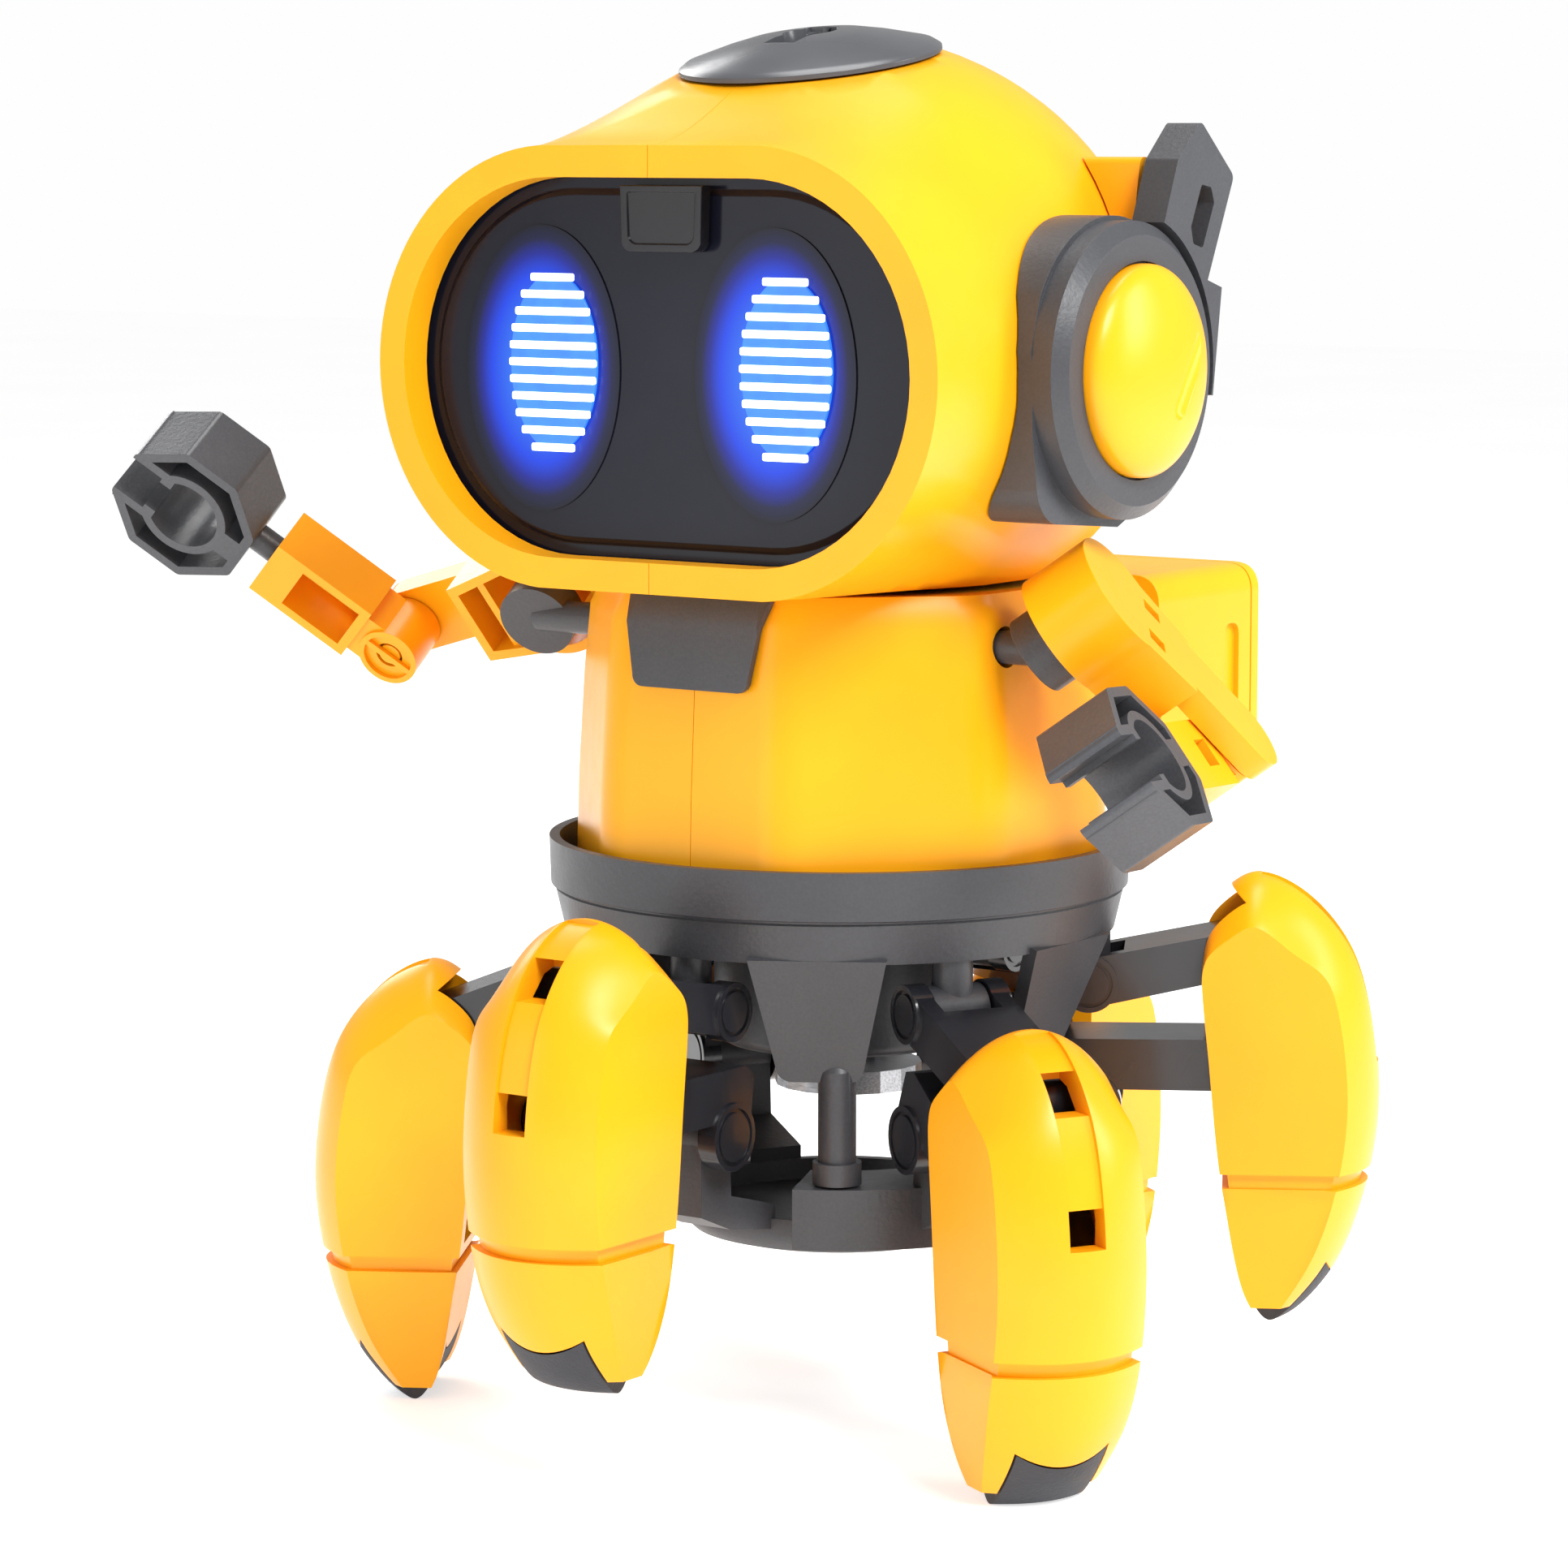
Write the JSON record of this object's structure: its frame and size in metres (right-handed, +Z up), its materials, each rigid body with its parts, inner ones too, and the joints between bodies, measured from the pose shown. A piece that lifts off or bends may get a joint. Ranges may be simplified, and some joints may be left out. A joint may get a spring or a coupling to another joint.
{
  "type": "hexapod walking robot",
  "caption": "Small hexapod walking robot: turning upper body with a helmet head and screen face, posable claw arms, and a ring chassis on linked legs.",
  "frame": {"origin": "middle of the footprint box, on the ground that the lowered feet stand on", "axes": "+Z up, -Y the way the face looks, +X the robot's left"},
  "size_m": [0.1754, 0.1452, 0.186],
  "materials": {
    "yellow_plastic": "glossy moulded",
    "dark_grey_plastic": "satin moulded",
    "foot_rubber": "matte",
    "black_screen": "polished",
    "eye_light": "lit from behind",
    "steel": "brushed",
    "white_gear": "satin",
    "circuit_board": "solder mask"
  },
  "bodies": {
    "chassis": {"leg_frame": "dark_grey_plastic", "base_dish": "dark_grey_plastic", "walk_gear_case": "dark_grey_plastic", "walk_motor": "steel"},
    "walk_crank": {"walk_crank_shaft": "steel", "walk_drive_gear": "white_gear"},
    "upper_body": {"torso_left_shell": "yellow_plastic", "torso_right_shell": "yellow_plastic", "chest_plate": "dark_grey_plastic", "battery_box": "yellow_plastic", "battery_cover": "yellow_plastic", "waist_spindle": "dark_grey_plastic", "turn_motor": "steel", "circuit_board": "circuit_board", "neck_collar": "dark_grey_plastic", "head_left_shell": "yellow_plastic", "head_right_shell": "yellow_plastic", "face_screen": "black_screen", "face_sensor": "black_screen", "left_eye_light": "eye_light", "right_eye_light": "eye_light", "top_cap": "dark_grey_plastic", "left_ear_housing": "dark_grey_plastic", "right_ear_housing": "dark_grey_plastic", "left_ear_dome": "yellow_plastic", "right_ear_dome": "yellow_plastic", "antenna": "dark_grey_plastic", "left_shoulder_stud": "dark_grey_plastic", "right_shoulder_stud": "dark_grey_plastic"},
    "switch_knob": {"power_switch": "dark_grey_plastic"},
    "front_upper_link_arm": {"front_upper_link": "dark_grey_plastic"},
    "front_lower_link_arm": {"front_lower_link": "dark_grey_plastic"},
    "front_leg": {"front_leg_shell": "yellow_plastic", "front_foot_pad": "foot_rubber"},
    "left_front_upper_link_arm": {"left_front_upper_link": "dark_grey_plastic"},
    "left_front_lower_link_arm": {"left_front_lower_link": "dark_grey_plastic"},
    "left_front_leg": {"left_front_leg_shell": "yellow_plastic", "left_front_foot_pad": "foot_rubber"},
    "left_rear_upper_link_arm": {"left_rear_upper_link": "dark_grey_plastic"},
    "left_rear_lower_link_arm": {"left_rear_lower_link": "dark_grey_plastic"},
    "left_rear_leg": {"left_rear_leg_shell": "yellow_plastic", "left_rear_foot_pad": "foot_rubber"},
    "rear_upper_link_arm": {"rear_upper_link": "dark_grey_plastic"},
    "rear_lower_link_arm": {"rear_lower_link": "dark_grey_plastic"},
    "rear_leg": {"rear_leg_shell": "yellow_plastic", "rear_foot_pad": "foot_rubber"},
    "right_rear_upper_link_arm": {"right_rear_upper_link": "dark_grey_plastic"},
    "right_rear_lower_link_arm": {"right_rear_lower_link": "dark_grey_plastic"},
    "right_rear_leg": {"right_rear_leg_shell": "yellow_plastic", "right_rear_foot_pad": "foot_rubber"},
    "right_front_upper_link_arm": {"right_front_upper_link": "dark_grey_plastic"},
    "right_front_lower_link_arm": {"right_front_lower_link": "dark_grey_plastic"},
    "right_front_leg": {"right_front_leg_shell": "yellow_plastic", "right_front_foot_pad": "foot_rubber"},
    "right_upper_arm_body": {"right_upper_arm": "yellow_plastic"},
    "right_forearm_body": {"right_forearm": "yellow_plastic"},
    "right_claw_body": {"right_claw": "dark_grey_plastic"},
    "left_upper_arm_body": {"left_upper_arm": "yellow_plastic"},
    "left_forearm_body": {"left_forearm": "yellow_plastic"},
    "left_claw_body": {"left_claw": "dark_grey_plastic"}
  },
  "joints": [
    {"name": "waist_turn", "type": "hinge", "parent": "chassis", "child": "upper_body", "pos_m": [0.0172, 0.00047, 0.072], "axis": [0, 0, 1], "continuous": true},
    {"name": "walk_crank_turn", "type": "hinge", "parent": "chassis", "child": "walk_crank", "pos_m": [0.0172, 0.00047, 0.05], "axis": [0, 0, 1], "continuous": true},
    {"name": "power_switch_slide", "type": "slide", "parent": "upper_body", "child": "switch_knob", "axis": [1, 0, 0], "range_m": [0, 0.004]},
    {"name": "front_upper_link_swing", "type": "hinge", "parent": "chassis", "child": "front_upper_link_arm", "pos_m": [0.0172, -0.03353, 0.059], "axis": [-1, 0, 0], "range_deg": [-32, 0]},
    {"name": "front_lower_link_swing", "type": "hinge", "parent": "chassis", "child": "front_lower_link_arm", "pos_m": [0.0172, -0.03353, 0.0425], "axis": [-1, 0, 0], "range_deg": [-32, 0]},
    {"name": "front_leg_level", "type": "hinge", "parent": "front_upper_link_arm", "child": "front_leg", "pos_m": [0.0172, -0.05749, 0.06409], "axis": [-1, 0, 0], "range_deg": [0, 32]},
    {"name": "left_front_upper_link_swing", "type": "hinge", "parent": "chassis", "child": "left_front_upper_link_arm", "pos_m": [0.04664, -0.01653, 0.059], "axis": [-0.5, -0.866, 0], "range_deg": [0, 32]},
    {"name": "left_front_lower_link_swing", "type": "hinge", "parent": "chassis", "child": "left_front_lower_link_arm", "pos_m": [0.04664, -0.01653, 0.0425], "axis": [-0.5, -0.866, 0], "range_deg": [0, 32]},
    {"name": "left_front_leg_level", "type": "hinge", "parent": "left_front_upper_link_arm", "child": "left_front_leg", "pos_m": [0.06658, -0.02804, 0.05062], "axis": [-0.5, -0.866, 0], "range_deg": [-32, 0]},
    {"name": "left_rear_upper_link_swing", "type": "hinge", "parent": "chassis", "child": "left_rear_upper_link_arm", "pos_m": [0.04664, 0.01747, 0.059], "axis": [0.5, -0.866, 0], "range_deg": [-32, 0]},
    {"name": "left_rear_lower_link_swing", "type": "hinge", "parent": "chassis", "child": "left_rear_lower_link_arm", "pos_m": [0.04664, 0.01747, 0.0425], "axis": [0.5, -0.866, 0], "range_deg": [-32, 0]},
    {"name": "left_rear_leg_level", "type": "hinge", "parent": "left_rear_upper_link_arm", "child": "left_rear_leg", "pos_m": [0.0674, 0.02945, 0.06409], "axis": [0.5, -0.866, 0], "range_deg": [0, 32]},
    {"name": "rear_upper_link_swing", "type": "hinge", "parent": "chassis", "child": "rear_upper_link_arm", "pos_m": [0.0172, 0.03447, 0.059], "axis": [1, 0, 0], "range_deg": [0, 32]},
    {"name": "rear_lower_link_swing", "type": "hinge", "parent": "chassis", "child": "rear_lower_link_arm", "pos_m": [0.0172, 0.03447, 0.0425], "axis": [1, 0, 0], "range_deg": [0, 32]},
    {"name": "rear_leg_level", "type": "hinge", "parent": "rear_upper_link_arm", "child": "rear_leg", "pos_m": [0.0172, 0.05749, 0.05062], "axis": [1, 0, 0], "range_deg": [-32, 0]},
    {"name": "right_rear_upper_link_swing", "type": "hinge", "parent": "chassis", "child": "right_rear_upper_link_arm", "pos_m": [-0.01225, 0.01747, 0.059], "axis": [0.5, 0.866, 0], "range_deg": [-32, 0]},
    {"name": "right_rear_lower_link_swing", "type": "hinge", "parent": "chassis", "child": "right_rear_lower_link_arm", "pos_m": [-0.01225, 0.01747, 0.0425], "axis": [0.5, 0.866, 0], "range_deg": [-32, 0]},
    {"name": "right_rear_leg_level", "type": "hinge", "parent": "right_rear_upper_link_arm", "child": "right_rear_leg", "pos_m": [-0.033, 0.02945, 0.06409], "axis": [0.5, 0.866, 0], "range_deg": [0, 32]},
    {"name": "right_front_upper_link_swing", "type": "hinge", "parent": "chassis", "child": "right_front_upper_link_arm", "pos_m": [-0.01225, -0.01653, 0.059], "axis": [-0.5, 0.866, 0], "range_deg": [0, 32]},
    {"name": "right_front_lower_link_swing", "type": "hinge", "parent": "chassis", "child": "right_front_lower_link_arm", "pos_m": [-0.01225, -0.01653, 0.0425], "axis": [-0.5, 0.866, 0], "range_deg": [0, 32]},
    {"name": "right_front_leg_level", "type": "hinge", "parent": "right_front_upper_link_arm", "child": "right_front_leg", "pos_m": [-0.03218, -0.02804, 0.05062], "axis": [-0.5, 0.866, 0], "range_deg": [-32, 0]},
    {"name": "right_shoulder", "type": "hinge", "parent": "upper_body", "child": "right_upper_arm_body", "pos_m": [-0.0263, -0.00903, 0.106], "axis": [0.1718, -0.8517, -0.4951], "range_deg": [-20, 10]},
    {"name": "right_elbow", "type": "hinge", "parent": "right_upper_arm_body", "child": "right_forearm_body", "pos_m": [-0.0532, -0.00997, 0.09828], "axis": [0.1718, -0.8517, -0.4951], "range_deg": [-35, 40]},
    {"name": "right_wrist", "type": "hinge", "parent": "right_forearm_body", "child": "right_claw_body", "pos_m": [-0.06785, -0.01623, 0.11347], "axis": [-0.6436, -0.4775, 0.5981], "range_deg": [-90, 90]},
    {"name": "left_shoulder", "type": "hinge", "parent": "upper_body", "child": "left_upper_arm_body", "pos_m": [0.0557, -0.00903, 0.106], "axis": [0.7756, 0.2393, 0.5841], "range_deg": [-8, 12]},
    {"name": "left_elbow", "type": "hinge", "parent": "left_upper_arm_body", "child": "left_forearm_body", "pos_m": [0.06435, 0.00953, 0.0869], "axis": [0.7756, 0.2393, 0.5841], "range_deg": [-4, 4]},
    {"name": "left_wrist", "type": "hinge", "parent": "left_forearm_body", "child": "left_claw_body", "pos_m": [0.07323, -0.01014, 0.09122], "axis": [0.2434, -0.9672, 0.073], "range_deg": [0, 90]}
  ],
  "couplings": [
    {"joint": "front_lower_link_swing", "follows": "front_upper_link_swing", "ratio": 1},
    {"joint": "front_leg_level", "follows": "front_upper_link_swing", "ratio": -1},
    {"joint": "left_front_upper_link_swing", "follows": "front_upper_link_swing", "ratio": -1},
    {"joint": "left_front_lower_link_swing", "follows": "front_upper_link_swing", "ratio": -1},
    {"joint": "left_front_leg_level", "follows": "front_upper_link_swing", "ratio": 1},
    {"joint": "left_rear_upper_link_swing", "follows": "front_upper_link_swing", "ratio": 1},
    {"joint": "left_rear_lower_link_swing", "follows": "front_upper_link_swing", "ratio": 1},
    {"joint": "left_rear_leg_level", "follows": "front_upper_link_swing", "ratio": -1},
    {"joint": "rear_upper_link_swing", "follows": "front_upper_link_swing", "ratio": -1},
    {"joint": "rear_lower_link_swing", "follows": "front_upper_link_swing", "ratio": -1},
    {"joint": "rear_leg_level", "follows": "front_upper_link_swing", "ratio": 1},
    {"joint": "right_rear_upper_link_swing", "follows": "front_upper_link_swing", "ratio": 1},
    {"joint": "right_rear_lower_link_swing", "follows": "front_upper_link_swing", "ratio": 1},
    {"joint": "right_rear_leg_level", "follows": "front_upper_link_swing", "ratio": -1},
    {"joint": "right_front_upper_link_swing", "follows": "front_upper_link_swing", "ratio": -1},
    {"joint": "right_front_lower_link_swing", "follows": "front_upper_link_swing", "ratio": -1},
    {"joint": "right_front_leg_level", "follows": "front_upper_link_swing", "ratio": 1}
  ]
}
